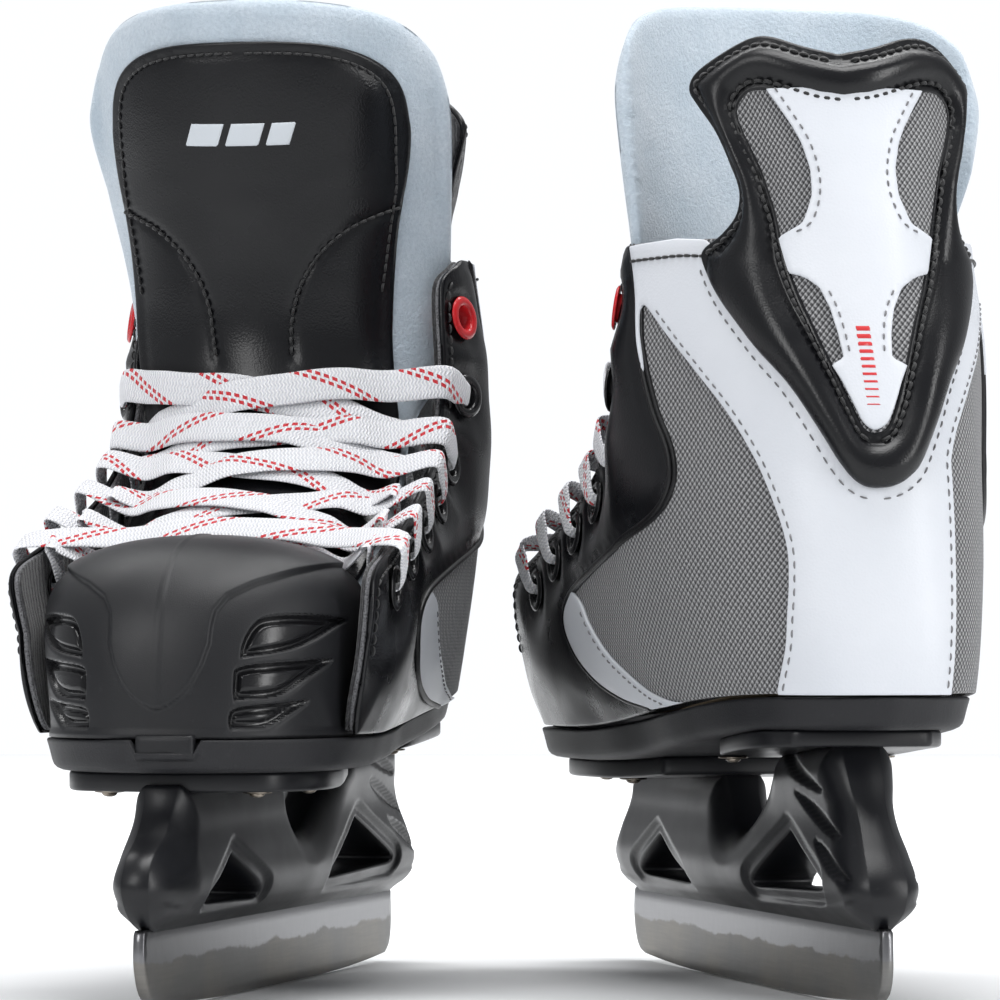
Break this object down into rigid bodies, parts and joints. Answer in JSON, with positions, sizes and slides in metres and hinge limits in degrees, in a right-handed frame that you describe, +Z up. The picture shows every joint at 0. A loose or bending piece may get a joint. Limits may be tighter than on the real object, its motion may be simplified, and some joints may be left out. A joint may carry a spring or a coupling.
{
  "type": "ice skates",
  "caption": "Pair of laced ice hockey skates with steel runners in plastic holders, padded boots, hinged tongue tops and flexible tendon guards.",
  "frame": {"origin": "centre of the pair's footprint on the ice, under the middle of its bounding box", "axes": "+Z up; the left skate's toe points to -Y and the right skate's toe to +Y, both turned about 14 degrees towards -X; the skates stand side by side along X"},
  "size_m": [0.2882, 0.2835, 0.2957],
  "materials": {
    "steel": "ground and honed, brighter band along the top",
    "holder": "satin moulded plastic",
    "rivet": "steel head on a coppery washer",
    "rubber": "fine pebbled moulding",
    "board": "pressed fibre",
    "toe": "matte moulding with glossy vents",
    "leather": "smooth black synthetic leather, semi-gloss",
    "mesh": "woven grey mesh",
    "white": "smooth white synthetic leather",
    "felt": "thick brushed felt",
    "lining": "brushed black lining",
    "lace": "flat woven lace with red tracer dashes",
    "red": "glossy enamelled eyelet",
    "eyelet": "glossy black enamelled eyelet"
  },
  "bodies": {
    "left_boot": {"left_blade_runner": "steel", "left_blade_holder": "holder", "left_rivet_1": "rivet", "left_rivet_2": "rivet", "left_rivet_3": "rivet", "left_rivet_4": "rivet", "left_rivet_5": "rivet", "left_rivet_6": "rivet", "left_outsole": "rubber", "left_lasting_board": "board", "left_footbed": "lining", "left_toe_cap": "toe", "left_left_side_quarter": "mesh", "left_left_side_facing": "leather", "left_left_side_eyelet_row": "eyelet", "left_left_side_top_eyelet": "red", "left_right_side_quarter": "mesh", "left_right_side_facing": "leather", "left_right_side_eyelet_row": "eyelet", "left_right_side_top_eyelet": "red", "left_heel_counter": "white", "left_collar_lining": "lining", "left_guard_root": "leather", "left_tongue_face_lower": "leather", "left_tongue_felt_lower": "felt", "left_lace": "lace"},
    "left_tongue_top": {"left_tongue_face_upper": "leather", "left_tongue_felt_upper": "felt"},
    "left_tendon_guard": {"left_tendon_guard": "leather", "left_guard_inlay": "white"},
    "right_boot": {"right_blade_runner": "steel", "right_blade_holder": "holder", "right_rivet_1": "rivet", "right_rivet_2": "rivet", "right_rivet_3": "rivet", "right_rivet_4": "rivet", "right_rivet_5": "rivet", "right_rivet_6": "rivet", "right_outsole": "rubber", "right_lasting_board": "board", "right_footbed": "lining", "right_toe_cap": "toe", "right_left_side_quarter": "mesh", "right_left_side_facing": "leather", "right_left_side_eyelet_row": "eyelet", "right_left_side_top_eyelet": "red", "right_right_side_quarter": "mesh", "right_right_side_facing": "leather", "right_right_side_eyelet_row": "eyelet", "right_right_side_top_eyelet": "red", "right_heel_counter": "white", "right_collar_lining": "lining", "right_guard_root": "leather", "right_tongue_face_lower": "leather", "right_tongue_felt_lower": "felt", "right_lace": "lace"},
    "right_tongue_top": {"right_tongue_face_upper": "leather", "right_tongue_felt_upper": "felt"},
    "right_tendon_guard": {"right_tendon_guard": "leather", "right_guard_inlay": "white"}
  },
  "joints": [
    {"name": "left_tongue_flop", "type": "hinge", "parent": "left_boot", "child": "left_tongue_top", "pos_m": [-0.07154, -0.00292, 0.213], "axis": [0.9781, -0.2079, 0], "range_deg": [0, 50], "stiffness_Nm_per_rad": 1},
    {"name": "left_guard_flex", "type": "hinge", "parent": "left_boot", "child": "left_tendon_guard", "pos_m": [-0.04639, 0.11543, 0.213], "axis": [-0.9781, 0.2079, 0], "range_deg": [0, 12], "stiffness_Nm_per_rad": 3},
    {"name": "right_skate_lift", "type": "slide", "parent": "left_boot", "child": "right_boot", "axis": [0, 0, 1], "range_m": [0, 0.32]},
    {"name": "right_tongue_flop", "type": "hinge", "parent": "right_boot", "child": "right_tongue_top", "pos_m": [0.07431, 0.00283, 0.213], "axis": [-0.9646, -0.2639, 0], "range_deg": [0, 50], "stiffness_Nm_per_rad": 1},
    {"name": "right_guard_flex", "type": "hinge", "parent": "right_boot", "child": "right_tendon_guard", "pos_m": [0.10624, -0.11388, 0.213], "axis": [0.9646, 0.2639, 0], "range_deg": [0, 12], "stiffness_Nm_per_rad": 3}
  ]
}
